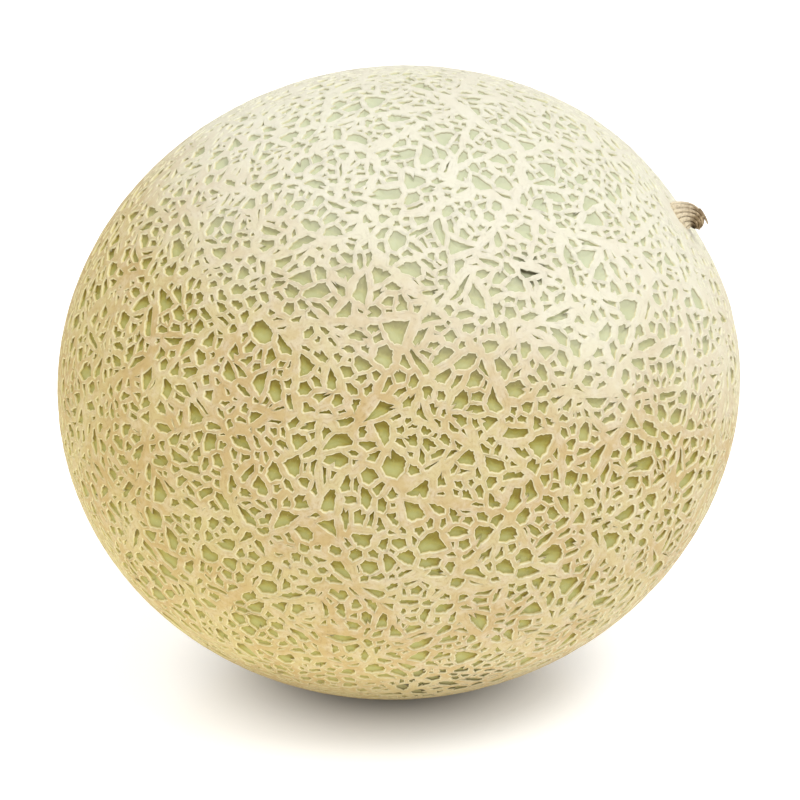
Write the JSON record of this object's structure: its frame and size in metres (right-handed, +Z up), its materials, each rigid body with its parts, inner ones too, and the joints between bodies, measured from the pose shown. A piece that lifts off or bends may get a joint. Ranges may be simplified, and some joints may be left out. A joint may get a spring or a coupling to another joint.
{
  "type": "cantaloupe melon",
  "caption": "Whole round netted cantaloupe melon with a raised corky net over green rind and a dried stub of its stem.",
  "frame": {"origin": "centre of the small flat spot that the melon rests on", "axes": "+Z up, +X towards the side where the stem end points, -X towards the blossom end"},
  "size_m": [0.159, 0.1538, 0.1462],
  "materials": {
    "netted_rind": "matte corky net in warm cream over satin grey-green rind",
    "dry_stem": "dried, fibrous, matte light brown"
  },
  "bodies": {
    "root": {"melon_fruit": "netted_rind", "stem_stub": "dry_stem"}
  },
  "joints": []
}
